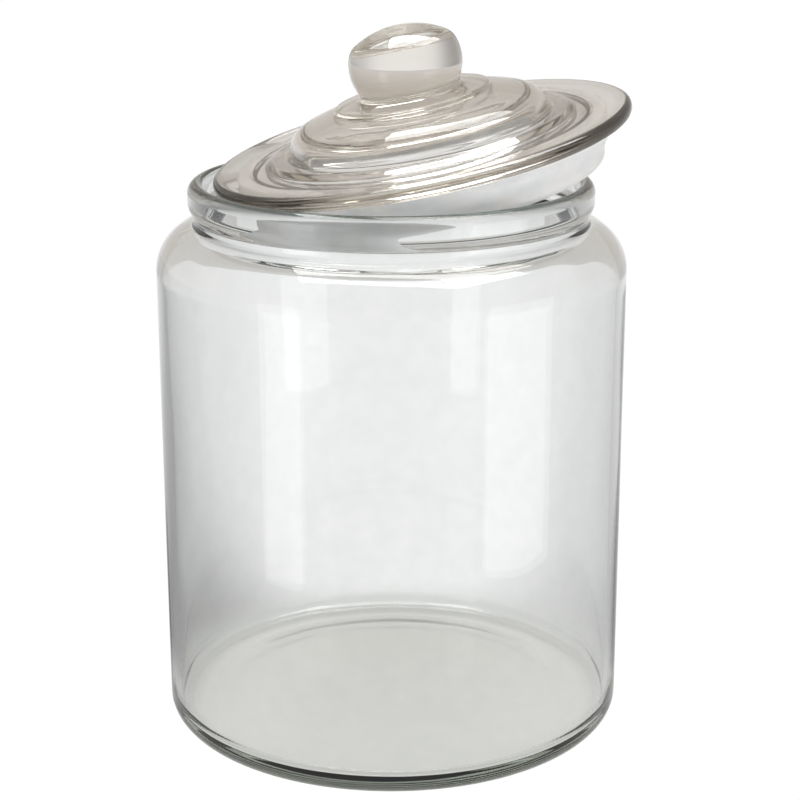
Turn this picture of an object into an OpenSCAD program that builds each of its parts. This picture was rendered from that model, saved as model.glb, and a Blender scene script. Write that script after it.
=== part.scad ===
// Lidded glass storage canister: a wide-mouth jar, a pressed glass lid with a solid knob,
// and a soft sealing ring round the lid's skirt. The lid stands ajar on the rim.
// Origin: middle of the base, on the surface that the jar stands on. +Z is up, +X to the right.

/* [Jar body] */
// Outside diameter of the straight wall
jar_d = 200; // [180:1:260]
// Height of the jar from the table to the top of its rim
jar_h = 238; // [150:1:320]
// Thickness of the straight wall
wall_t = 4.5; // [3:0.1:6]
// Thickness of the floor at its edge
floor_t = 7; // [5:0.1:11]
// How much thicker the floor is at its middle
floor_crown = 3.6; // [0:0.1:6]
// Height of the hollow under the base
push_up = 4; // [0.5:0.1:4.5]
// Width of the flat ring that the jar stands on
stand_w = 9.1; // [6:0.1:14]
// Outside radius between wall and base
heel_r = 8.9; // [5:0.1:11]
// Inside radius between wall and floor
heel_in_r = 6; // [2:0.1:12]

/* [Shoulder, neck and rim] */
// How far the neck stands in from the wall
neck_inset = 16.5; // [12:0.1:20]
// Outside radius of the shoulder
shoulder_r = 20; // [17:0.1:26]
// Radius of the groove where shoulder and neck meet
waist_r = 2; // [1:0.1:4]
// Thickness of the glass at the neck
neck_t = 4; // [3:0.1:6]
// How far the rim bead stands out from the neck
bead_out = 2.5; // [1:0.1:4]
// Height of the rim bead
bead_h = 16; // [14:0.1:24]
// Radius of the rim bead's rounded underside
bead_low_r = 9; // [6:0.1:10]
// Radius of the rim's outer top edge
bead_r = 4.3; // [2:0.1:5]
// Radius of the rim's inner top edge
mouth_edge_r = 2.1; // [1:0.1:3]

/* [Lid] */
// How far the lid's flange reaches past the rim
flange_over = 3.6; // [0:0.1:8]
// Thickness of the flange
flange_t = 6; // [4:0.1:8]
// Radius of the flange's edges
flange_edge_r = 2.8; // [0.5:0.1:2.9]
// Height of the raised step round the dome
step_h = 1.6; // [0.5:0.1:3]
// Width of the flat on top of the step
step_w = 4.8; // [2:0.1:5]
// Thickness of the skirt under the lid
skirt_t = 6; // [3:0.1:8]
// Depth of the skirt below the flange
skirt_h = 14; // [10:0.1:20]
// How far the dome's foot stands in from the skirt's inside
dome_inset = 10.2; // [8:0.1:14]
// Radius of the dome's foot
dome_foot_r = 10; // [6:0.1:10]
// Radius of the dome's crown
dome_crown_r = 84; // [60:1:140]
// Thickness of the glass of the dome
dome_t = 6.5; // [4:0.1:8]

/* [Knob] */
// Diameter of the knob
knob_d = 47.2; // [42:0.1:48]
// Height of the knob's widest part above the flange's underside
knob_mid = 36.6; // [35:0.1:44]
// Radius of the knob's bulging side
knob_side_r = 20; // [16:0.1:22]
// Radius between the knob's side and its crown
knob_edge_r = 8; // [4:0.1:10]
// Angle at which that radius starts
knob_edge_from = 20; // [10:1:30]
// Angle at which it turns into the crown
knob_turn = 60; // [50:1:70]
// How far the neck stands in from the knob's side
knob_neck_inset = 2.4; // [1:0.1:4]
// How far the collar reaches past the knob
collar_over = 9.4; // [6:0.1:12]
// Height of the collar's edge
collar_h = 2; // [1:0.1:3]

/* [Sealing ring] */
// Gap between the ring's lip and the mouth when the lid is shut
mouth_gap = 0.4; // [0.3:0.05:1]
// How far the lip stands out from the ring's body
lip_out = 3.7; // [1:0.1:5]
// Height of the lip
lip_h = 4.2; // [2:0.1:6]
// Thickness of the ring round the skirt
seal_t = 3.8; // [2:0.1:5]
// Thickness of the ring's foot, which turns in under the skirt
seal_foot_t = 3; // [2:0.1:4]
// Gap between the ring and the skirt all round
skirt_gap = 0.1; // [0.05:0.05:0.3]
// Gap between the ring and the lid's flat faces
seat_gap = 0.3; // [0.2:0.1:0.5]

/* [Ajar lid] */
// Angle that the lid leans at
lid_tilt = 11.6; // [10:0.1:14]
// How far the lid is pushed towards its raised side
lid_shift = 13.6; // [12:0.1:16]
// Direction of the raised side, from +X towards +Y
lid_turn = 15.3; // [-180:0.1:180]
// Gap left between the resting lid and the rim
rest_gap = 0.8; // [0.5:0.1:2]

/* [Hidden] */
// Smoothness of the round surfaces
$fn = 144;
// Straight pieces in one arc of an outline
steps = 10;
// Straight pieces in a shallow curve of an outline
few_steps = 5;
// Degrees left out where one arc runs on into the next, and the same on a large arc
skip = 6;
large_skip = 3;

// Jar outline, as radii and heights
wall_r = jar_d / 2;
wall_in_r = wall_r - wall_t;
neck_r = wall_r - neck_inset;
mouth_r = neck_r - neck_t;
rim_r = neck_r + bead_out;
stand_r = wall_r - heel_r - stand_w;
rim_w = rim_r - mouth_r;
// The rim's two roundings never take up more than its width
bead_edge_r = min(bead_r, rim_w * 2 / 3);
mouth_round_r = min(mouth_edge_r, rim_w / 3);
waist_z = jar_h - bead_h;
shoulder_x = wall_r - shoulder_r;
waist_x = neck_r + waist_r;
shoulder_z = waist_z - sqrt(pow(shoulder_r + waist_r, 2) - pow(waist_x - shoulder_x, 2));
shoulder_end = atan2(waist_z - shoulder_z, waist_x - shoulder_x);
// The inside follows the outside: a tighter shoulder, and a rounder turn into the neck
shoulder_less = 3;
shoulder_drop = 2.5;
shoulder_in_r = shoulder_r - shoulder_less;
shoulder_in_x = wall_in_r - shoulder_in_r;
shoulder_in_z = shoulder_z - shoulder_drop;
waist_in_r = waist_r + neck_t;
waist_in_x = mouth_r + waist_in_r;
waist_in_z = shoulder_in_z + sqrt(pow(shoulder_in_r + waist_in_r, 2) - pow(waist_in_x - shoulder_in_x, 2));
shoulder_in_end = atan2(waist_in_z - shoulder_in_z, waist_in_x - shoulder_in_x);
// The bead's underside starts at the neck, and ends below the outer top edge
bead_turn = acos(1 - bead_out / bead_low_r);
bead_z = min(waist_z + waist_r + bead_low_r * sin(bead_turn), jar_h - bead_edge_r);

// Lid outline, in the lid's own frame: its axis is Z and the flange's underside is at zero
flange_r = rim_r + flange_over;
lip_r = mouth_r - mouth_gap;
seal_r = lip_r - lip_out;
seal_bore_r = seal_r - seal_t;
skirt_r = seal_bore_r - skirt_gap;
skirt_in_r = skirt_r - skirt_t;
seal_h = skirt_h + seat_gap + seal_foot_t;
dome_r = skirt_in_r - dome_inset;
// Height from the middle of the step to where the dome's foot starts to turn in
foot_rise = 1.5;
dome_z = flange_t + step_h / 2 + foot_rise;
dome_x = dome_r - dome_foot_r;
// The edges of a thin flange are rounded no further than its middle
flange_round_r = min(flange_edge_r, flange_t / 2);
skirt_edge_r = 1;
// Groove between the dome and the step, and the step's sloping outer side
groove_w = 2.4;
step_slope = 3.5;
// Hollow under the dome: its radius, and the rounding of its edges
hollow_r = dome_r - dome_t + 1;
root_r = 2;
root_z = 0.2;
// Rise of the hollow's top towards the middle
hollow_rise = 0.6;
// Angle at which the dome's foot turns into its crown
dome_turn = 70;
crown_x = dome_x - (dome_crown_r - dome_foot_r) * cos(dome_turn);
crown_z = dome_z - (dome_crown_r - dome_foot_r) * sin(dome_turn);
knob_r = knob_d / 2;
collar_r = knob_r + collar_over;
// How far outside the collar the crown stops
collar_foot = 1;
crown_end = acos((collar_r + collar_foot - crown_x) / dome_crown_r);
crown_in_end = acos((knob_r - crown_x) / (dome_crown_r - dome_t));
collar_z = crown_z + dome_crown_r * sin(crown_end);
collar_edge_r = 0.8;
knob_x = knob_r - knob_side_r;
knob_waist_r = 2.5;
// Angle at which the knob's neck runs out onto the collar
knob_flare = 235;
knob_waist_x = knob_r - knob_neck_inset + knob_waist_r;
knob_waist_z = knob_mid - sqrt(pow(knob_side_r + knob_waist_r, 2) - pow(knob_waist_x - knob_x, 2));
knob_start = -atan2(knob_mid - knob_waist_z, knob_waist_x - knob_x);
knob_edge_x = knob_x + (knob_side_r - knob_edge_r) * cos(knob_edge_from);
knob_edge_z = knob_mid + (knob_side_r - knob_edge_r) * sin(knob_edge_from);
knob_crown_r = knob_edge_r + knob_edge_x / cos(knob_turn);
knob_crown_z = knob_edge_z - (knob_crown_r - knob_edge_r) * sin(knob_turn);

// Height of the ajar lid. On the low side the flange's lower edge meets the mouth, and on the
// high side the ring's lower edge meets the rim. Each is taken half-way round its rounding.
foot_round_r = 3.4;
corner = 1 - cos(45);
seat_w = 1.5;
seat_r = mouth_r + seat_w;
lid_z = jar_h + rest_gap + max(
    drop(flange_r - flange_round_r * corner, -flange_round_r * corner),
    drop(seal_r - foot_round_r * corner, seal_h - foot_round_r * corner)
);

// Cosine of the angle at which a tilted circle of radius r, shifted by s, crosses the seat
function crossing(r, s) = max(-1, (s * cos(lid_tilt) - sqrt(pow(s * cos(lid_tilt), 2)
    + pow(sin(lid_tilt), 2) * (s * s + r * r - seat_r * seat_r))) / (r * pow(sin(lid_tilt), 2)));
// How far that crossing lies below the middle of the flange's underside
function drop(r, depth) =
    depth * cos(lid_tilt) - r * crossing(r, lid_shift + depth * sin(lid_tilt)) * sin(lid_tilt);

// Points on an arc round [x, z], from one angle to another
function arc(x, z, r, from, to, n = steps) =
    [for (i = [0:n]) let (a = from + (to - from) * i / n) [x + r * cos(a), z + r * sin(a)]];

// Points on a soft S-bend from one point to another
function bend(from, to, n = few_steps) =
    [for (i = [1:n - 1]) [from[0] + (to[0] - from[0]) * (1 - cos(180 * i / n)) / 2,
        from[1] + (to[1] - from[1]) * i / n]];

function push_up_line() =
    [for (i = [0:few_steps]) [stand_r * i / few_steps, push_up * (1 - pow(i / few_steps, 2))]];

function floor_line() =
    [for (i = [few_steps:-1:0]) let (x = i / few_steps)
        [(wall_in_r - heel_in_r) * x, floor_t + floor_crown * pow(1 - x * x, 2)]];

jar_outline = concat(
    push_up_line(),
    arc(wall_r - heel_r, heel_r, heel_r, -90, 0),
    arc(shoulder_x, shoulder_z, shoulder_r, 0, shoulder_end),
    arc(waist_x, waist_z, waist_r, 180 + shoulder_end - skip, 180 - skip, few_steps),
    arc(rim_r - bead_low_r, bead_z, bead_low_r, -bead_turn, -skip, few_steps),
    arc(rim_r - bead_edge_r, jar_h - bead_edge_r, bead_edge_r, 0, 90),
    arc(mouth_r + mouth_round_r, jar_h - mouth_round_r, mouth_round_r, 90, 180, few_steps),
    arc(waist_in_x, waist_in_z, waist_in_r, 180, 180 + shoulder_in_end, few_steps),
    arc(shoulder_in_x, shoulder_in_z, shoulder_in_r, shoulder_in_end - skip, 0),
    arc(wall_in_r - heel_in_r, floor_t + heel_in_r, heel_in_r, 0, skip - 90, few_steps),
    floor_line()
);

lid_outline = concat(
    [[0, crown_z + (dome_crown_r - dome_t) * sin(crown_in_end) + hollow_rise]],
    arc(crown_x, crown_z, dome_crown_r - dome_t, crown_in_end, dome_turn + large_skip, few_steps),
    arc(dome_x, dome_z, hollow_r - dome_x, dome_turn, 0, few_steps),
    arc(hollow_r + root_r, root_z + root_r, root_r, 180, 270, few_steps),
    arc(skirt_in_r - root_r, root_z - root_r, root_r, 90, 0, few_steps),
    arc(skirt_in_r + skirt_edge_r, skirt_edge_r - skirt_h, skirt_edge_r, 180, 270, few_steps),
    arc(skirt_r - skirt_edge_r, skirt_edge_r - skirt_h, skirt_edge_r, -90, 0, few_steps),
    [[skirt_r, 0]],
    arc(flange_r - flange_round_r, flange_round_r, flange_round_r, -90, 0),
    arc(flange_r - flange_round_r, flange_t - flange_round_r, flange_round_r, skip, 90),
    [[dome_r + groove_w + step_w + step_slope, flange_t]],
    [[dome_r + groove_w + step_w, flange_t + step_h], [dome_r + groove_w, flange_t + step_h]],
    [[dome_r + groove_w / 6, flange_t + step_h / 2]],
    arc(dome_x, dome_z, dome_foot_r, -large_skip, dome_turn),
    arc(crown_x, crown_z, dome_crown_r, dome_turn + large_skip, crown_end, few_steps),
    arc(collar_r - collar_edge_r, collar_z + collar_h - collar_edge_r, collar_edge_r, 0, 90 - skip, few_steps),
    arc(knob_waist_x, knob_waist_z, knob_waist_r, knob_flare, 180 + knob_start, few_steps),
    arc(knob_x, knob_mid, knob_side_r, knob_start + large_skip, knob_edge_from),
    arc(knob_edge_x, knob_edge_z, knob_edge_r, knob_edge_from + skip, knob_turn, few_steps),
    arc(0, knob_crown_z, knob_crown_r, knob_turn + large_skip, 90)
);

lip_end = -seat_gap - lip_h;
lip_edge_r = 0.9;
foot_edge_r = 1.5;
seal_outline = concat(
    [[seal_bore_r, -seat_gap]],
    arc(lip_r - lip_edge_r, -seat_gap - lip_edge_r, lip_edge_r, 90, 0, few_steps),
    [[lip_r, lip_end]],
    bend([lip_r, lip_end], [seal_r, skirt_edge_r - skirt_h]),
    arc(seal_r - foot_round_r, -seal_h + foot_round_r, foot_round_r, 0, -90),
    arc(skirt_in_r + foot_edge_r, -seal_h + foot_edge_r, foot_edge_r, -90, -180, few_steps),
    [[skirt_in_r, -skirt_h - seat_gap], [seal_bore_r, -skirt_h - seat_gap]]
);

// Puts the lid and its ring where they rest on the rim
module ajar() {
    translate([lid_shift * cos(lid_turn), lid_shift * sin(lid_turn), lid_z])
        rotate([0, 0, lid_turn])
            rotate([0, -lid_tilt, 0])
                children();
}

module jar() {
    color([0.84, 0.89, 0.88, 0.45])
        rotate_extrude()
            polygon(jar_outline);
}

module seal_ring() {
    color("whitesmoke")
        ajar()
            rotate_extrude()
                polygon(seal_outline);
}

module lid() {
    color([0.80, 0.78, 0.74, 0.55])
        ajar()
            rotate_extrude()
                polygon(lid_outline);
}

jar();
seal_ring();
lid();
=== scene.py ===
import math

import bmesh
import bpy
from mathutils import Matrix, Vector


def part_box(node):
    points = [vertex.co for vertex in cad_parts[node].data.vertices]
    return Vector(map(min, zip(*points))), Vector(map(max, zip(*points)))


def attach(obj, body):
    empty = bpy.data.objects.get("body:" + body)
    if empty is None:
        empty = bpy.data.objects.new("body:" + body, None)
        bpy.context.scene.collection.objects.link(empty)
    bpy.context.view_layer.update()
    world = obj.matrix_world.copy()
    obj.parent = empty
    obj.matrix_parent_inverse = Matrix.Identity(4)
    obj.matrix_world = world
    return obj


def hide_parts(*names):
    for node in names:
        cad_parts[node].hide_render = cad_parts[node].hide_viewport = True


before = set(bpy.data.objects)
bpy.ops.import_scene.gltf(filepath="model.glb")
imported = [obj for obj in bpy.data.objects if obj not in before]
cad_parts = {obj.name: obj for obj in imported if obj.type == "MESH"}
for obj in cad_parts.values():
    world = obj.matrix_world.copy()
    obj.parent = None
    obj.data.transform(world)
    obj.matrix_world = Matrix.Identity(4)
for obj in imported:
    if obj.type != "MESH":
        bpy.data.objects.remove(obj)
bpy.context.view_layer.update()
print("frame loaded:", sorted(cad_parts))

mm = 0.001
closestPoints = 0.02  # outline points nearer than this, in mm, are one
onAxis = 0.5  # mm from the axis, within which nothing ripples
mergeWithin = 0.002  # mm, closes the seam and the poles of a turned mesh


def linearColour(hexCode):
    # sRGB hex to the linear values that shaders work in
    channels = [int(hexCode[i:i + 2], 16) / 255 for i in (1, 3, 5)]
    return [c / 12.92 if c <= 0.04045 else ((c + 0.055) / 1.055) ** 2.4 for c in channels] + [1.0]


def addNode(tree, kind, settings=None, links=None):
    node = tree.nodes.new(kind)
    for key, value in (settings or {}).items():
        if isinstance(key, str) and hasattr(node, key):
            setattr(node, key, value)
        else:
            node.inputs[key].default_value = value
    for key, source in (links or {}).items():
        tree.links.new(source, node.inputs[key])
    return node


def arc(x, z, radius, start, end, count):
    # points in mm on an arc of the outline, angles in degrees
    turns = [math.radians(start + (end - start) * i / count) for i in range(count + 1)]
    return [(x + radius * math.cos(t), z + radius * math.sin(t)) for t in turns]


def straight(start, end, count):
    # inner points of a straight run, both ends left out
    return [tuple(a + (b - a) * i / count for a, b in zip(start, end)) for i in range(1, count)]


def outlineMesh(name, sections):
    # sections of (points, ripple in mm, seam in mm, painted shade) become one row of vertices whose
    # attributes say how far the turned surface may ripple, where the mould seam stands out and how much
    # painted shade, a dark tint, goes into the glass colour where one looks a long way into the glass
    points, ripples, seams, paintedShades = [], [], [], []
    for run, ripple, seam, *paintedShade in sections:
        for p in run:
            if points and math.dist(p, points[-1]) < closestPoints:
                continue
            points.append(p)
            ripples.append(ripple)
            seams.append(seam)
            paintedShades.append(paintedShade[0] if paintedShade else 0.0)
    mesh = bpy.data.meshes.new(name)
    mesh.from_pydata([(r * mm, 0, z * mm) for r, z in points], [], [])
    ripple = mesh.attributes.new("ripple", "FLOAT_VECTOR", "POINT")
    seam = mesh.attributes.new("seam", "FLOAT_VECTOR", "POINT")
    paintedShade = mesh.attributes.new("paintedShade", "FLOAT_VECTOR", "POINT")
    for i, (r, z) in enumerate(points):
        before, after = points[max(i - 1, 0)], points[min(i + 1, len(points) - 1)]
        out = Vector((after[1] - before[1], 0, before[0] - after[0])).normalized()
        soft = ripples[max(i - 1, 0)] + ripples[i] + ripples[min(i + 1, len(points) - 1)]
        ripple.data[i].vector = out * (soft / 3 * mm if r > onAxis else 0)
        seam.data[i].vector = out * (seams[i] * mm if r > onAxis else 0)
        near = paintedShades[max(i - 1, 0):i + 2]
        paintedShade.data[i].vector = (sum(near) / len(near), 0, 0)
    return mesh


def turningTree():
    # turns an outline round the axis as a mould does, with swells in the wall and a seam
    tree = bpy.data.node_groups.new("turnedOutline", "GeometryNodeTree")
    sockets = {}
    for name, kind in (("Outline", "Geometry"), ("Segments", "Int"), ("Outline Points", "Int"),
                       ("Ripple Length", "Float"), ("Ripple Squeeze", "Float"), ("Seam Angle", "Float"),
                       ("Seam Width", "Float"), ("Seed", "Float"), ("Material", "Material")):
        sockets[name] = tree.interface.new_socket(
            name=name, in_out="INPUT", socket_type="NodeSocket" + kind).identifier
    tree.interface.new_socket(name="Turned", in_out="OUTPUT", socket_type="NodeSocketGeometry")
    given = tree.nodes.new("NodeGroupInput").outputs

    # a flat grid: its X becomes the angle and its Y the row of the outline
    columns = addNode(tree, "ShaderNodeMath", {"operation": "ADD", 1: 1.0}, {0: given["Segments"]})
    grid = addNode(tree, "GeometryNodeMeshGrid", {"Size X": 1.0, "Size Y": 1.0},
                   {"Vertices X": columns.outputs[0], "Vertices Y": given["Outline Points"]})
    place = addNode(tree, "GeometryNodeInputPosition").outputs[0]
    flat = addNode(tree, "ShaderNodeSeparateXYZ", links={0: place}).outputs
    angle = addNode(tree, "ShaderNodeMath", {"operation": "MULTIPLY_ADD", 1: math.tau, 2: math.pi},
                    {0: flat[0]}).outputs[0]
    last = addNode(tree, "ShaderNodeMath", {"operation": "SUBTRACT", 1: 1.0}, {0: given["Outline Points"]})
    share = addNode(tree, "ShaderNodeMath", {"operation": "ADD", 1: 0.5}, {0: flat[1]})
    row = addNode(tree, "ShaderNodeMath", {"operation": "MULTIPLY_ADD", 2: 0.5},
                  {0: share.outputs[0], 1: last.outputs[0]}).outputs[0]

    def sampled(field):
        node = addNode(tree, "GeometryNodeSampleIndex", {"data_type": "FLOAT_VECTOR", "domain": "POINT"},
                       {"Geometry": given["Outline"], "Value": field, "Index": row})
        return addNode(tree, "ShaderNodeSeparateXYZ", links={0: node.outputs[0]}).outputs

    outline = sampled(place)
    ripple, seam, paintedShade = [
        sampled(addNode(tree, "GeometryNodeInputNamedAttribute",
                        {"data_type": "FLOAT_VECTOR", "Name": name}).outputs[0])
        for name in ("ripple", "seam", "paintedShade")]
    cosine = addNode(tree, "ShaderNodeMath", {"operation": "COSINE"}, {0: angle}).outputs[0]
    sine = addNode(tree, "ShaderNodeMath", {"operation": "SINE"}, {0: angle}).outputs[0]

    def around(radius, height):
        x, y = [addNode(tree, "ShaderNodeMath", {"operation": "MULTIPLY"}, {0: radius, 1: turn}).outputs[0]
                for turn in (cosine, sine)]
        return addNode(tree, "ShaderNodeCombineXYZ", links={0: x, 1: y, 2: height}).outputs[0]

    # swells: soft noise, squeezed along the height where the glass was drawn up
    squeezed = addNode(tree, "ShaderNodeMath", {"operation": "MULTIPLY"},
                       {0: outline[2], 1: given["Ripple Squeeze"]}).outputs[0]
    rippleScale = addNode(tree, "ShaderNodeMath", {"operation": "DIVIDE", 0: 1.0},
                          {1: given["Ripple Length"]}).outputs[0]
    noise = addNode(tree, "ShaderNodeTexNoise", {
        "noise_dimensions": "4D", "Detail": 1.0, "Roughness": 0.4},
        {"Vector": around(outline[0], squeezed), "W": given["Seed"], "Scale": rippleScale})
    wave = addNode(tree, "ShaderNodeMath", {"operation": "MULTIPLY_ADD", 1: 2.0, 2: -1.0},
                   {0: noise.outputs[0]}).outputs[0]

    # the seam runs along two opposite sides, a Seam Width wide
    fromSeam = addNode(tree, "ShaderNodeMath", {"operation": "SUBTRACT"}, {0: angle, 1: given["Seam Angle"]})
    sideways = addNode(tree, "ShaderNodeMath", {"operation": "SINE"}, {0: fromSeam.outputs[0]})
    eitherSide = addNode(tree, "ShaderNodeMath", {"operation": "ABSOLUTE"}, {0: sideways.outputs[0]})
    aside = addNode(tree, "ShaderNodeMath", {"operation": "MULTIPLY"},
                    {0: eitherSide.outputs[0], 1: outline[0]})
    ridge = addNode(tree, "ShaderNodeMapRange", {
        "interpolation_type": "SMOOTHSTEP", "From Min": 0.0, "To Min": 1.0, "To Max": 0.0},
        {"Value": aside.outputs[0], "From Max": given["Seam Width"]}).outputs[0]
    moved = []
    for i in (0, 2):
        rippled = addNode(tree, "ShaderNodeMath", {"operation": "MULTIPLY_ADD"},
                          {0: wave, 1: ripple[i], 2: outline[i]})
        moved.append(addNode(tree, "ShaderNodeMath", {"operation": "MULTIPLY_ADD"},
                             {0: ridge, 1: seam[i], 2: rippled.outputs[0]}).outputs[0])

    # the painted-shade mark is stored before the grid is turned, while a vertex's place still tells its row
    marked = addNode(tree, "GeometryNodeStoreNamedAttribute",
                     {"data_type": "FLOAT", "domain": "POINT", "Name": "paintedEdgeShade"},
                     {"Geometry": grid.outputs[0], "Value": paintedShade[0]})
    turned = addNode(tree, "GeometryNodeSetPosition",
                     links={"Geometry": marked.outputs[0], "Position": around(moved[0], moved[1])})
    closed = addNode(tree, "GeometryNodeMergeByDistance", {"Distance": mergeWithin * mm},
                     {"Geometry": turned.outputs[0]})
    smooth = addNode(tree, "GeometryNodeSetShadeSmooth", links={"Geometry": closed.outputs[0]})
    real = addNode(tree, "GeometryNodeRealizeInstances", links={"Geometry": smooth.outputs[0]})
    done = addNode(tree, "GeometryNodeSetMaterial",
                   links={"Geometry": real.outputs[0], "Material": given["Material"]})
    end = tree.nodes.new("NodeGroupOutput")
    tree.links.new(done.outputs[0], end.inputs[0])
    return tree, sockets


turning, turningSockets = turningTree()


def turnPiece(name, outline, settings, material, place=None):
    # a temporary object carries the modifier; what is kept is its result as a plain mesh
    source = bpy.data.objects.new(name + "Outline", outline)
    bpy.context.scene.collection.objects.link(source)
    modifier = source.modifiers.new("turning", "NODES")
    modifier.node_group = turning
    values = {"Segments": settings["segments"], "Outline Points": len(outline.vertices),
              "Ripple Length": settings["rippleLength"] * mm, "Ripple Squeeze": settings["rippleSqueeze"],
              "Seam Angle": math.radians(settings["seamAngle"]), "Seam Width": settings["seamWidth"] * mm,
              "Seed": settings["seed"], "Material": material}
    for key, value in values.items():
        modifier[turningSockets[key]] = value
    bpy.context.view_layer.update()
    evaluated = source.evaluated_get(bpy.context.evaluated_depsgraph_get())
    mesh = bpy.data.meshes.new_from_object(evaluated)
    source.modifiers.remove(modifier)
    bpy.data.objects.remove(source)
    mesh.name = name
    if place is not None:
        mesh.transform(place)
    piece = bpy.data.objects.new(name, mesh)
    bpy.context.scene.collection.objects.link(piece)
    check = bmesh.new()
    check.from_mesh(mesh)
    openEdges = sum(1 for e in check.edges if not e.is_manifold)
    volume = check.calc_volume(signed=True) / mm ** 3
    check.free()
    print(name, "faces", len(mesh.polygons), "open edges", openEdges, "volume mm3", round(volume))
    return piece


def glassMaterial(name, look):
    # Soda-lime glass from a mould: clear and hard, with faint swells that bend what lies behind,
    # and a colour that shows where the light runs a long way through the glass; rims and edges also get
    # painted shade in the base colour
    material = bpy.data.materials.new(name)
    material.use_nodes = True
    tree = material.node_tree
    tree.nodes.clear()
    place = addNode(tree, "ShaderNodeTexCoord").outputs["Object"]
    swells = addNode(tree, "ShaderNodeTexNoise", {
        "Scale": 1 / (look["swellLength"] * mm), "Detail": 2.0, "Roughness": 0.45}, {"Vector": place})
    film = addNode(tree, "ShaderNodeTexNoise", {
        "Scale": 1 / (look["filmLength"] * mm), "Detail": 5.0, "Roughness": 0.6}, {"Vector": place})
    tint = addNode(tree, "ShaderNodeValToRGB", links={"Fac": film.outputs[0]})
    tint.color_ramp.elements[0].position, tint.color_ramp.elements[1].position = 0.35, 0.7
    tint.color_ramp.elements[0].color = linearColour(look["filmColour"])
    tint.color_ramp.elements[1].color = linearColour(look["clearColour"])
    # painted shade: rims, edges and corners where the eye looks along the glass get a dark tint mixed into
    # the base colour
    paintedShade = addNode(tree, "ShaderNodeAttribute", {"attribute_name": "paintedEdgeShade"})
    shade = addNode(tree, "ShaderNodeMix", {
        "data_type": "RGBA", "clamp_factor": True, 7: linearColour(look["paintedEdgeShadeColour"])},
        {0: paintedShade.outputs["Fac"], 6: tint.outputs[0]})
    haze = addNode(tree, "ShaderNodeMapRange", {
        "From Min": 0.3, "From Max": 0.75, "To Min": look["roughMin"], "To Max": look["roughMax"]},
        {"Value": film.outputs[0]})
    bump = addNode(tree, "ShaderNodeBump", {"Strength": 1.0, "Distance": look["swellDepth"] * mm},
                   {"Height": swells.outputs[0]})
    shader = addNode(tree, "ShaderNodeBsdfPrincipled", {
        "IOR": look["ior"], "Transmission Weight": 1.0, "Metallic": 0.0},
        {"Base Color": shade.outputs[2], "Roughness": haze.outputs[0], "Normal": bump.outputs[0]})
    depth = addNode(tree, "ShaderNodeVolumeAbsorption", {
        "Color": linearColour(look["depthColour"]), "Density": look["depthDensity"]})
    addNode(tree, "ShaderNodeOutputMaterial", links={
        "Surface": shader.outputs[0], "Volume": depth.outputs[0]})
    return material


jarLook = {
    "ior": 1.52,
    "swellLength": 30, "swellDepth": 0.006,
    "filmLength": 9, "filmColour": "#fbfcfc", "clearColour": "#ffffff",
    "roughMin": 0.0, "roughMax": 0.008,
    "depthColour": "#b8c4ba", "depthDensity": 9.0, "paintedEdgeShadeColour": "#3f4843",
}
lidLook = {
    "ior": 1.52,
    "swellLength": 14, "swellDepth": 0.02,
    "filmLength": 6, "filmColour": "#fdfbf9", "clearColour": "#fffefd",
    "roughMin": 0.0, "roughMax": 0.015,
    "depthColour": "#b8a880", "depthDensity": 5.5, "paintedEdgeShadeColour": "#7d7049",
}
sealLook = {
    "ior": 1.41, "colour": "#f6f8fa", "dustColour": "#ebeff2", "cloudLength": 14,
    "grainLength": 0.9, "grainDepth": 0.03, "grainStrength": 0.6,
    "roughMin": 0.34, "roughMax": 0.5, "lightReach": 6,
}


def sealMaterial(name, look):
    # Moulded food-grade silicone: milky and slightly see-through, satin with a fine dull grain
    material = bpy.data.materials.new(name)
    material.use_nodes = True
    tree = material.node_tree
    tree.nodes.clear()
    place = addNode(tree, "ShaderNodeTexCoord").outputs["Object"]
    grain = addNode(tree, "ShaderNodeTexNoise", {
        "Scale": 1 / (look["grainLength"] * mm), "Detail": 3.0}, {"Vector": place})
    clouds = addNode(tree, "ShaderNodeTexNoise", {
        "Scale": 1 / (look["cloudLength"] * mm), "Detail": 3.0}, {"Vector": place})
    tint = addNode(tree, "ShaderNodeValToRGB", links={"Fac": clouds.outputs[0]})
    tint.color_ramp.elements[0].position, tint.color_ramp.elements[1].position = 0.35, 0.6
    tint.color_ramp.elements[0].color = linearColour(look["dustColour"])
    tint.color_ramp.elements[1].color = linearColour(look["colour"])
    dull = addNode(tree, "ShaderNodeMapRange", {
        "From Min": 0.3, "From Max": 0.7, "To Min": look["roughMin"], "To Max": look["roughMax"]},
        {"Value": clouds.outputs[0]})
    bump = addNode(tree, "ShaderNodeBump", {
        "Strength": look["grainStrength"], "Distance": look["grainDepth"] * mm},
                   {"Height": grain.outputs[0]})
    shader = addNode(tree, "ShaderNodeBsdfPrincipled", {
        "IOR": look["ior"], "Subsurface Weight": 1.0, "Subsurface Scale": look["lightReach"] * mm,
        "Subsurface Radius": (1.0, 1.0, 1.0)},
        {"Base Color": tint.outputs[0], "Roughness": dull.outputs[0], "Normal": bump.outputs[0]})
    addNode(tree, "ShaderNodeOutputMaterial", links={"Surface": shader.outputs[0]})
    return material


jarGlass = glassMaterial("sodaLimeGlassClear", jarLook)
lidGlass = glassMaterial("pressedGlassWarmGrey", lidLook)
sealSilicone = sealMaterial("siliconeMilky", sealLook)
print("materials made")


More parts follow.
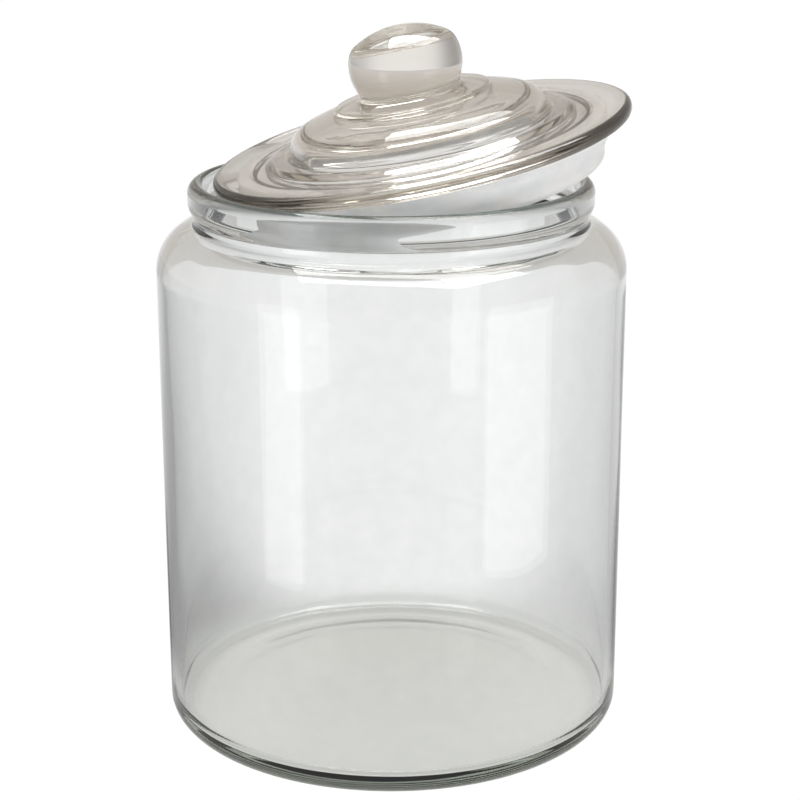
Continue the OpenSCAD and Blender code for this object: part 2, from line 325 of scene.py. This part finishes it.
# jar: hollow foot, straight wall, drawn-in neck and rolled rim; sizes in mm
jarSizes = {
    "wall": 100.0, "wallInside": 95.5, "height": 238.0,
    "heel": 8.9, "heelInside": 6.0, "hollow": 82.0, "pushUp": 4.0,
    "floor": 7.0, "crown": 3.6,
    "neck": 83.5, "mouth": 79.5, "rim": 86.0, "rimEdge": 4.3, "bead": 9.0, "mouthEdge": 2.1,
    "waistHeight": 222.0, "waist": 2.0, "waistInside": 6.0,
    "shoulder": 20.0, "shoulderInside": 17.0, "shoulderDrop": 2.5,
    "segments": 240, "rippleLength": 40, "rippleSqueeze": 0.3, "seed": 3.0,
    "seamAngle": 12, "seamWidth": 0.9,
    "outerRipple": 0.10, "innerRipple": 0.22, "floorRipple": 0.25, "neckRipple": 0.05, "wallSeam": 0.05,
    # share of painted shade, a dark tint in the glass colour, in each thick place
    "heelPaintedShade": 0.35, "heelSidePaintedShade": 0.1, "neckPaintedShade": 0.2, "beadPaintedShade": 0.15,
    "rimSidePaintedShade": 0.2, "rimTopPaintedShade": 1.0, "mouthPaintedShade": 0.35,
}


def jarOutline(s):
    shoulderX = s["wall"] - s["shoulder"]
    waistX = s["neck"] + s["waist"]
    reach = s["shoulder"] + s["waist"]
    shoulderZ = s["waistHeight"] - math.sqrt(reach ** 2 - (waistX - shoulderX) ** 2)
    turn = math.degrees(math.atan2(s["waistHeight"] - shoulderZ, waistX - shoulderX))
    innerX = s["wallInside"] - s["shoulderInside"]
    innerZ = shoulderZ - s["shoulderDrop"]
    innerWaistX = s["mouth"] + s["waistInside"]
    innerReach = s["shoulderInside"] + s["waistInside"]
    innerWaistZ = innerZ + math.sqrt(innerReach ** 2 - (innerWaistX - innerX) ** 2)
    innerTurn = math.degrees(math.atan2(innerWaistZ - innerZ, innerWaistX - innerX))
    heelX = s["wall"] - s["heel"]
    floorEdge = s["wallInside"] - s["heelInside"]
    hollow = [(s["hollow"] * i / 14, s["pushUp"] * (1 - (i / 14) ** 2)) for i in range(15)]
    floor = [(floorEdge * i / 18, s["floor"] + s["crown"] * (1 - (i / 18) ** 2) ** 2)
             for i in range(18, -1, -1)]
    rimX, rimZ = s["rim"] - s["rimEdge"], s["height"] - s["rimEdge"]
    mouthZ = s["height"] - s["mouthEdge"]
    neckEnd = (s["neck"], s["waistHeight"])
    beadTurn = math.degrees(math.acos(1 - (s["rim"] - s["neck"]) / s["bead"]))
    beadZ = s["waistHeight"] + s["waist"] + s["bead"] * math.sin(math.radians(beadTurn))
    # a section's fourth value is its share of painted shade, a dark tint in the glass colour
    return [
        (hollow, 0.0, 0.0),
        (straight(hollow[-1], (heelX, 0), 3), 0.0, 0.0),
        (arc(heelX, s["heel"], s["heel"], -90, -40, 8), 0.0, s["wallSeam"], s["heelPaintedShade"]),
        (arc(heelX, s["heel"], s["heel"], -35, 0, 6), 0.0, s["wallSeam"], s["heelSidePaintedShade"]),
        (straight((s["wall"], s["heel"]), (s["wall"], shoulderZ), 34), s["outerRipple"], s["wallSeam"]),
        (arc(shoulderX, shoulderZ, s["shoulder"], 0, turn - 1, 20), s["outerRipple"], s["wallSeam"]),
        (arc(waistX, s["waistHeight"], s["waist"], 180 + turn, 180, 8), 0.0, 0.0),
        (straight(neckEnd, (s["neck"], s["waistHeight"] + s["waist"]), 2), 0.0, 0.0, s["neckPaintedShade"]),
        (arc(s["rim"] - s["bead"], beadZ, s["bead"], -beadTurn, 0, 10), 0.0, 0.0, s["beadPaintedShade"]),
        (arc(rimX, rimZ, s["rimEdge"], 0, 45, 8), 0.0, 0.0, s["rimSidePaintedShade"]),
        (arc(rimX, rimZ, s["rimEdge"], 50, 90, 8), 0.0, 0.0, s["rimTopPaintedShade"]),
        (arc(s["mouth"] + s["mouthEdge"], mouthZ, s["mouthEdge"], 90, 180, 8), 0.0, 0.0, s["mouthPaintedShade"]),
        (straight((s["mouth"], mouthZ), (s["mouth"], innerWaistZ), 5), s["neckRipple"], 0.0),
        (arc(innerWaistX, innerWaistZ, s["waistInside"], 180, 180 + innerTurn - 1, 10), s["neckRipple"], 0.0),
        (arc(innerX, innerZ, s["shoulderInside"], innerTurn, 0, 16), s["innerRipple"], 0.0),
        (straight((s["wallInside"], innerZ), (s["wallInside"], s["floor"] + s["heelInside"]), 34),
         s["innerRipple"], 0.0),
        (arc(floorEdge, s["floor"] + s["heelInside"], s["heelInside"], 0, -90, 10), s["innerRipple"], 0.0),
        (floor, s["floorRipple"], 0.0),
    ]


jar = turnPiece("jarBody", outlineMesh("jarOutline", jarOutline(jarSizes)), jarSizes, jarGlass)


# lid: flange, raised step, dome and solid knob in one pressing, with a skirt below
lidSizes = {
    "flange": 89.6, "flangeThick": 6.0, "flangeEdge": 2.8,
    "stepHigh": 1.6, "stepFlat": 4.8, "stepSlope": 3.5, "groove": 2.4,
    "skirt": 71.5, "skirtInside": 65.5, "skirtDeep": 14.0, "skirtEdge": 1.0,
    "dome": 55.3, "domeFoot": 10.0, "domeCrown": 84.0, "domeThick": 6.5, "domeTurn": 70.0, "footRise": 1.5,
    "root": 2.0, "rootZ": 0.2, "hollowRise": 0.6,
    "collarOver": 9.4, "collarHigh": 2.0, "collarEdge": 0.8,
    "knob": 23.6, "knobMid": 36.6, "knobSide": 20.0, "knobEdge": 8.0, "knobEdgeFrom": 20.0,
    "knobTurn": 60.0, "knobNeckIn": 2.4, "knobWaist": 2.5,
    "stepFootSoft": 0.9, "stepOuterSoft": 0.7, "stepInnerSoft": 0.5, "grooveSoft": 0.35,
    "segments": 240, "rippleLength": 30, "rippleSqueeze": 1.0, "seed": 8.0,
    "seamAngle": -15.3, "seamWidth": 0.8, "ripple": 0.05, "knobRipple": 0.25, "knobSeam": 0.22,
    # share of painted shade, a dark tint in the glass colour, in each thick place
    "flangeLowPaintedShade": 0.15, "flangeEdgePaintedShade": 0.6, "flangeTopPaintedShade": 0.25, "groovePaintedShade": 0.7,
    "knobNeckPaintedShade": 0.4,
}


def lidOutline(s):
    hollowRadius = s["dome"] - s["domeThick"] + 1
    domeZ = s["flangeThick"] + s["stepHigh"] / 2 + s["footRise"]
    domeX = s["dome"] - s["domeFoot"]
    turn = math.radians(s["domeTurn"])
    crownX = domeX - (s["domeCrown"] - s["domeFoot"]) * math.cos(turn)
    crownZ = domeZ - (s["domeCrown"] - s["domeFoot"]) * math.sin(turn)
    collar = s["knob"] + s["collarOver"]
    crownEnd = math.degrees(math.acos((collar + 1 - crownX) / s["domeCrown"]))
    hollowEnd = math.degrees(math.acos((s["knob"] - crownX) / (s["domeCrown"] - s["domeThick"])))
    hollowTop = crownZ + (s["domeCrown"] - s["domeThick"]) * math.sin(math.radians(hollowEnd))
    collarZ = crownZ + s["domeCrown"] * math.sin(math.radians(crownEnd))
    collarX = collar - s["collarEdge"]
    collarTop = (collarX, collarZ + s["collarHigh"])
    knobX = s["knob"] - s["knobSide"]
    waistX = s["knob"] - s["knobNeckIn"] + s["knobWaist"]
    reach = s["knobSide"] + s["knobWaist"]
    waistZ = s["knobMid"] - math.sqrt(reach ** 2 - (waistX - knobX) ** 2)
    knobStart = -math.degrees(math.atan2(s["knobMid"] - waistZ, waistX - knobX))
    edgeFrom, edgeTo = math.radians(s["knobEdgeFrom"]), math.radians(s["knobTurn"])
    edgeX = knobX + (s["knobSide"] - s["knobEdge"]) * math.cos(edgeFrom)
    edgeZ = s["knobMid"] + (s["knobSide"] - s["knobEdge"]) * math.sin(edgeFrom)
    topRadius = s["knobEdge"] + edgeX / math.cos(edgeTo)
    topZ = edgeZ - (topRadius - s["knobEdge"]) * math.sin(edgeTo)
    flangeX, top = s["flange"] - s["flangeEdge"], s["flangeThick"]
    stepStart = (s["dome"] + s["groove"] + s["stepFlat"] + s["stepSlope"], top)
    stepOut = (s["dome"] + s["groove"] + s["stepFlat"], top + s["stepHigh"])
    stepIn = (s["dome"] + s["groove"], top + s["stepHigh"])
    grooveEnd = (s["dome"] + s["groove"] / 6, top + s["stepHigh"] / 2)
    ripple = s["ripple"]
    hollowCrown = [(s["knob"] * i / 8, hollowTop + s["hollowRise"] * (1 - (i / 8) ** 2)) for i in range(8)]
    # a section's fourth value is its share of painted shade, a dark tint in the glass colour
    rest = [
        (hollowCrown, 0.0, 0.0),
        (arc(crownX, crownZ, s["domeCrown"] - s["domeThick"], hollowEnd, s["domeTurn"], 14), ripple, 0.0),
        (arc(domeX, domeZ, hollowRadius - domeX, s["domeTurn"], 0, 10), ripple, 0.0),
        (arc(hollowRadius + s["root"], s["rootZ"] + s["root"], s["root"], 180, 270, 8), 0.0, 0.0),
        (straight((hollowRadius + s["root"], s["rootZ"]), (s["skirtInside"] - s["root"], s["rootZ"]), 4),
         0.0, 0.0),
        (arc(s["skirtInside"] - s["root"], s["rootZ"] - s["root"], s["root"], 90, 0, 8), 0.0, 0.0),
        (straight((s["skirtInside"], -s["root"]), (s["skirtInside"], 1 - s["skirtDeep"]), 5), 0.0, 0.0),
        (arc(s["skirtInside"] + s["skirtEdge"], s["skirtEdge"] - s["skirtDeep"], s["skirtEdge"], 180, 270, 6),
         0.0, 0.0),
        (arc(s["skirt"] - s["skirtEdge"], s["skirtEdge"] - s["skirtDeep"], s["skirtEdge"], -90, 0, 6),
         0.0, 0.0),
        (straight((s["skirt"], 1 - s["skirtDeep"]), (s["skirt"], -0.4), 5), 0.0, 0.0),
        ([(s["skirt"], -0.4), (s["skirt"] + 0.1, -0.12), (s["skirt"] + 0.4, 0)], 0.0, 0.0),
        (straight((s["skirt"] + 0.4, 0), (flangeX, 0), 6), 0.0, 0.0),
        (arc(flangeX, s["flangeEdge"], s["flangeEdge"], -90, 0, 10), 0.0, 0.0, s["flangeLowPaintedShade"]),
        (arc(flangeX, top - s["flangeEdge"], s["flangeEdge"], 0, 90, 10), 0.0, 0.0, s["flangeEdgePaintedShade"]),
        (straight((flangeX, top), stepStart, 8), 0.0, 0.0, s["flangeTopPaintedShade"]),
        (softCorner(stepStart, (flangeX, top), stepOut, s["stepFootSoft"]), 0.0, 0.0),
        (softCorner(stepOut, stepStart, stepIn, s["stepOuterSoft"]), 0.0, 0.0),
        (straight((stepOut[0] - s["stepOuterSoft"], stepOut[1]),
                  (stepIn[0] + s["stepInnerSoft"], stepIn[1]), 3), 0.0, 0.0),
        (softCorner(stepIn, stepOut, grooveEnd, s["stepInnerSoft"]), 0.0, 0.0),
        (softCorner(grooveEnd, stepIn, (s["dome"], domeZ), s["grooveSoft"]), 0.0, 0.0, s["groovePaintedShade"]),
        (arc(domeX, domeZ, s["domeFoot"], -2, s["domeTurn"], 18), ripple, 0.0),
        (arc(crownX, crownZ, s["domeCrown"], s["domeTurn"], crownEnd, 14), ripple, 0.0),
        (straight((collar + 1, collarZ), (collar, collarZ + 0.4), 2), 0.0, 0.0),
        (arc(collarX, collarTop[1] - s["collarEdge"], s["collarEdge"], 0, 90, 8), 0.0, 0.0),
    ]
    neckArc = arc(waistX, waistZ, s["knobWaist"], 235, 180 + knobStart, 10)
    rest += [
        (straight(collarTop, neckArc[0], 5), 0.0, 0.0),
        (neckArc, 0.0, 0.0, s["knobNeckPaintedShade"]),
        (arc(knobX, s["knobMid"], s["knobSide"], knobStart, s["knobEdgeFrom"], 22),
         s["knobRipple"], s["knobSeam"]),
        (arc(edgeX, edgeZ, s["knobEdge"], s["knobEdgeFrom"], s["knobTurn"], 10),
         s["knobRipple"], s["knobSeam"]),
        (arc(0, topZ, topRadius, s["knobTurn"], 90, 16)[:-1] + [(0, topZ + topRadius)],
         s["knobRipple"], 0.0),
    ]
    return rest


def softCorner(corner, before, after, reach):
    # rounds a corner over that reach on both sides
    c, b, a = Vector(corner), Vector(before), Vector(after)
    start, end = c + (b - c).normalized() * reach, c + (a - c).normalized() * reach
    return [tuple(start * (1 - t) ** 2 + c * 2 * t * (1 - t) + end * t ** 2) for t in (0, 0.25, 0.5, 0.75, 1)]


# where the lid leans on the rim: pushed and raised towards one side
ajar = {"shift": 13.6, "tilt": 11.6, "turn": 15.3}
ajarTurn = Matrix.Rotation(math.radians(ajar["turn"]), 4, "Z")
ajarPlace = (ajarTurn @ Matrix.Translation((ajar["shift"] * mm, 0, 0))
             @ Matrix.Rotation(math.radians(-ajar["tilt"]), 4, "Y"))
lidRow = lidOutline(lidSizes)
# the height comes from the CAD lid: its highest point is on the knob's crown
lidTrial = [ajarPlace @ Vector((r * mm * math.cos(t), r * mm * math.sin(t), z * mm))
            for row in lidRow[-3:] for r, z in row[0] for t in (0.0, math.pi)]
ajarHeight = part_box("lid")[1].z - max(p.z for p in lidTrial)
ajarPlace = Matrix.Translation((0, 0, ajarHeight)) @ ajarPlace
print("lid height", round(ajarHeight / mm, 2))

lid = turnPiece("lidGlass", outlineMesh("lidOutline", lidRow), lidSizes, lidGlass, ajarPlace)


# sealing ring: lip above, foot turned in under the skirt
sealSizes = {
    "bore": 71.6, "lip": 79.1, "body": 75.4, "foot": 65.5,
    "top": -0.3, "lipHigh": 4.2, "bodyFrom": -13.0, "bottom": -17.3, "footTop": -14.3,
    "lipEdge": 0.9, "footRound": 3.4, "footEdge": 1.5,
    "segments": 240, "rippleLength": 40, "rippleSqueeze": 1.0, "seamAngle": 60, "seamWidth": 0.5, "seed": 5.0,
}


def sealOutline(s):
    lipEnd = s["top"] - s["lipHigh"]
    count = 14
    bend = [(s["lip"] + (s["body"] - s["lip"]) * (1 - math.cos(math.pi * i / count)) / 2,
             lipEnd + (s["bodyFrom"] - lipEnd) * i / count) for i in range(count + 1)]
    lipX, lipZ = s["lip"] - s["lipEdge"], s["top"] - s["lipEdge"]
    loop = [(s["bore"] + 0.2, s["top"])] + straight((s["bore"], s["top"]), (lipX, s["top"]), 4)
    loop += arc(lipX, lipZ, s["lipEdge"], 90, 0, 8)
    loop += straight((s["lip"], lipZ), (s["lip"], lipEnd), 3) + bend
    loop += arc(s["body"] - s["footRound"], s["bottom"] + s["footRound"], s["footRound"], 0, -90, 12)
    loop += arc(s["foot"] + s["footEdge"], s["bottom"] + s["footEdge"], s["footEdge"], -90, -180, 8)
    loop += [(s["foot"] + 0.3, s["footTop"])]
    loop += straight((s["foot"], s["footTop"]), (s["bore"], s["footTop"]), 4)
    loop += [(s["bore"], s["footTop"])]
    loop += straight((s["bore"], s["footTop"]), (s["bore"], s["top"]), 6) + [(s["bore"], s["top"] - 0.2)]
    loop.append(loop[0])
    return [(list(reversed(loop)), 0.0, 0.0)]


seal = turnPiece("sealingRing", outlineMesh("sealOutline", sealOutline(sealSizes)), sealSizes,
                 sealSilicone, ajarPlace)

for piece, node, body, slotName in ((jar, "jar", "jar", "jar_glass"),
                                    (lid, "lid", "lid", "lid_glass"),
                                    (seal, "seal_ring", "seal_ring", "seal_silicone")):
    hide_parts(node)
    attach(piece, body)
print("pieces ride on their bodies")


# stage: a plain white light table, a plain room and soft boxes
stageLook = {
    "size": 30.0, "drop": 0.0004, "floorSeen": 1.02, "floorGlow": 1.8, "roomSeen": 1.0, "roomLight": 0.95,
    "underJar": (0.41, 0.41, 0.395, 1.0), "underFrom": 0.085, "underTo": 0.15,
}

floorMesh = bpy.data.meshes.new("floor")
half = stageLook["size"] / 2
floorCorners = [(-half, -half, 0), (half, -half, 0), (half, half, 0), (-half, half, 0)]
floorMesh.from_pydata(floorCorners, [], [(0, 1, 2, 3)])
floor = bpy.data.objects.new("floor", floorMesh)
floor.location.z = -stageLook["drop"]
bpy.context.scene.collection.objects.link(floor)


def floorMaterial():
    # a lit white table: seen plainly it is white; in the glass it is brightest behind and in two
    # soft bands to the front, and greyer at the sides, which draws the glass's edges
    material = bpy.data.materials.new("lightTable")
    material.use_nodes = True
    tree = material.node_tree
    tree.nodes.clear()
    place = addNode(tree, "ShaderNodeTexCoord").outputs["Object"]
    flat = addNode(tree, "ShaderNodeSeparateXYZ", links={0: place})
    around = addNode(tree, "ShaderNodeMath", {"operation": "ARCTAN2"},
                     {0: flat.outputs[0], 1: flat.outputs[1]})
    share = addNode(tree, "ShaderNodeMapRange", {"From Min": -math.pi, "From Max": math.pi},
                    {0: around.outputs[0]})
    bands = addNode(tree, "ShaderNodeValToRGB", links={"Fac": share.outputs[0]})
    ramp = bands.color_ramp
    ramp.interpolation = "B_SPLINE"
    # share 0 and 1 is the front, 0.25 the left, 0.5 the back, 0.75 the right
    stops = [(0.0, 0.35), (0.08, 0.38), (0.14, 0.6), (0.22, 0.22), (0.34, 0.16), (0.40, 0.24), (0.45, 0.54),
             (0.55, 0.54), (0.60, 0.36), (0.68, 0.28), (0.76, 0.34), (0.84, 0.62), (0.92, 0.42), (1.0, 0.35)]
    while len(ramp.elements) < len(stops):
        ramp.elements.new(0.5)
    for element, (position, grey) in zip(ramp.elements, stops):
        element.position = position
        element.color = (grey, grey, grey, 1)
    distance = addNode(tree, "ShaderNodeVectorMath", {"operation": "LENGTH"}, {0: place})
    under = addNode(tree, "ShaderNodeMapRange", {
        "interpolation_type": "SMOOTHSTEP", "From Min": stageLook["underFrom"],
        "From Max": stageLook["underTo"]}, {"Value": distance.outputs["Value"]})
    zones = addNode(tree, "ShaderNodeMix", {"data_type": "RGBA", 6: stageLook["underJar"]},
                    {0: under.outputs[0], 7: bands.outputs[0]})
    glow = addNode(tree, "ShaderNodeEmission", {"Strength": stageLook["floorGlow"]},
                   {"Color": zones.outputs[2]})
    plain = addNode(tree, "ShaderNodeEmission", {"Strength": stageLook["floorSeen"]})
    path = addNode(tree, "ShaderNodeLightPath")
    mix = addNode(tree, "ShaderNodeMixShader", links={
        0: path.outputs["Is Camera Ray"], 1: glow.outputs[0], 2: plain.outputs[0]})
    addNode(tree, "ShaderNodeOutputMaterial", links={"Surface": mix.outputs[0]})
    return material


floorMesh.materials.append(floorMaterial())

world = bpy.data.worlds.new("room")
bpy.context.scene.world = world
world.use_nodes = True
worldTree = world.node_tree
worldTree.nodes.clear()
seen = addNode(worldTree, "ShaderNodeBackground", {"Strength": stageLook["roomSeen"]})
light = addNode(worldTree, "ShaderNodeBackground", {"Strength": stageLook["roomLight"]})
seen.inputs[0].default_value = (1, 1, 1, 1)
up = addNode(worldTree, "ShaderNodeSeparateXYZ", links={
    0: addNode(worldTree, "ShaderNodeTexCoord").outputs["Generated"]})
sky = addNode(worldTree, "ShaderNodeValToRGB", links={"Fac": up.outputs[2]})
skyStops = [(0.0, "#dcdad8"), (0.14, "#d0cbc5"), (0.32, "#c4bdb5"), (0.62, "#cbc6c1"), (0.9, "#dad8d6")]
while len(sky.color_ramp.elements) < len(skyStops):
    sky.color_ramp.elements.new(0.5)
for element, (height, colour) in zip(sky.color_ramp.elements, skyStops):
    element.position = height
    element.color = linearColour(colour)
worldTree.links.new(sky.outputs[0], light.inputs[0])
worldPath = addNode(worldTree, "ShaderNodeLightPath")
worldMix = addNode(worldTree, "ShaderNodeMixShader", links={
    0: worldPath.outputs["Is Camera Ray"], 1: light.outputs[0], 2: seen.outputs[0]})
addNode(worldTree, "ShaderNodeOutputWorld", links={"Surface": worldMix.outputs[0]})

jarMiddle = (0, 0, 0.115)
softBoxes = {
    "softTop": {"at": (0.1, 0.3, 1.5), "aim": jarMiddle, "size": (1.3, 0.9), "power": 26, "mirrored": True},
    "stripLeft": {"at": (-0.225, -0.215, 0.115), "aim": jarMiddle, "size": (0.10, 0.23), "power": 0.07,
                  "mirrored": True},
    "stripRight": {"at": (0.262, -0.185, 0.115), "aim": jarMiddle, "size": (0.18, 0.23), "power": 0.12,
                   "mirrored": True},
    # fills the shade under the sealing ring, and is not seen in the glass
    "fillUnder": {"at": (0.0, -0.01, 0.06), "aim": (0.01, 0.0, 0.24), "size": (0.1, 0.1), "power": 0.13,
                  "mirrored": False},
}
for name, box in softBoxes.items():
    lamp = bpy.data.lights.new(name, "AREA")
    lamp.shape = "RECTANGLE"
    lamp.size, lamp.size_y = box["size"]
    lamp.energy = box["power"]
    holder = bpy.data.objects.new(name, lamp)
    holder.location = box["at"]
    holder.rotation_euler = (Vector(box["aim"]) - Vector(box["at"])).to_track_quat("-Z", "Y").to_euler()
    holder.visible_camera = False
    holder.visible_glossy = holder.visible_transmission = box["mirrored"]
    bpy.context.scene.collection.objects.link(holder)
print("stage and lights set")


cameraSet = {
    "at": (0.0, -0.828581, 0.386754), "pitch": 0.28913, "yaw": 0.00422, "roll": 0.00197,
    "lens": 89.13, "sensor": 36.0, "near": 0.01, "far": 100.0,
}
cameraData = bpy.data.cameras.new("camera")
cameraData.sensor_width = cameraSet["sensor"]
cameraData.lens = cameraSet["lens"]
cameraData.clip_start, cameraData.clip_end = cameraSet["near"], cameraSet["far"]
camera = bpy.data.objects.new("camera", cameraData)
bpy.context.scene.collection.objects.link(camera)
pitch, yaw, roll = cameraSet["pitch"], cameraSet["yaw"], cameraSet["roll"]
ahead = Vector((math.sin(yaw) * math.cos(pitch), math.cos(yaw) * math.cos(pitch), -math.sin(pitch)))
levelRight = Vector((math.cos(yaw), -math.sin(yaw), 0))
levelUp = Vector((math.sin(yaw) * math.sin(pitch), math.cos(yaw) * math.sin(pitch), math.cos(pitch)))
right = math.cos(roll) * levelRight - math.sin(roll) * levelUp
up = math.sin(roll) * levelRight + math.cos(roll) * levelUp
camera.matrix_world = Matrix.Translation(cameraSet["at"]) @ Matrix((right, up, -ahead)).transposed().to_4x4()
bpy.context.scene.camera = camera

# glass behind glass needs many bounces
bounces = {"total": 24, "transmission": 24, "glossy": 10}
scene = bpy.context.scene
scene.view_settings.view_transform = "Standard"
scene.view_settings.look = "None"
scene.cycles.max_bounces = bounces["total"]
scene.cycles.transmission_bounces = bounces["transmission"]
scene.cycles.glossy_bounces = bounces["glossy"]
scene.cycles.use_denoising = True
print("camera set")
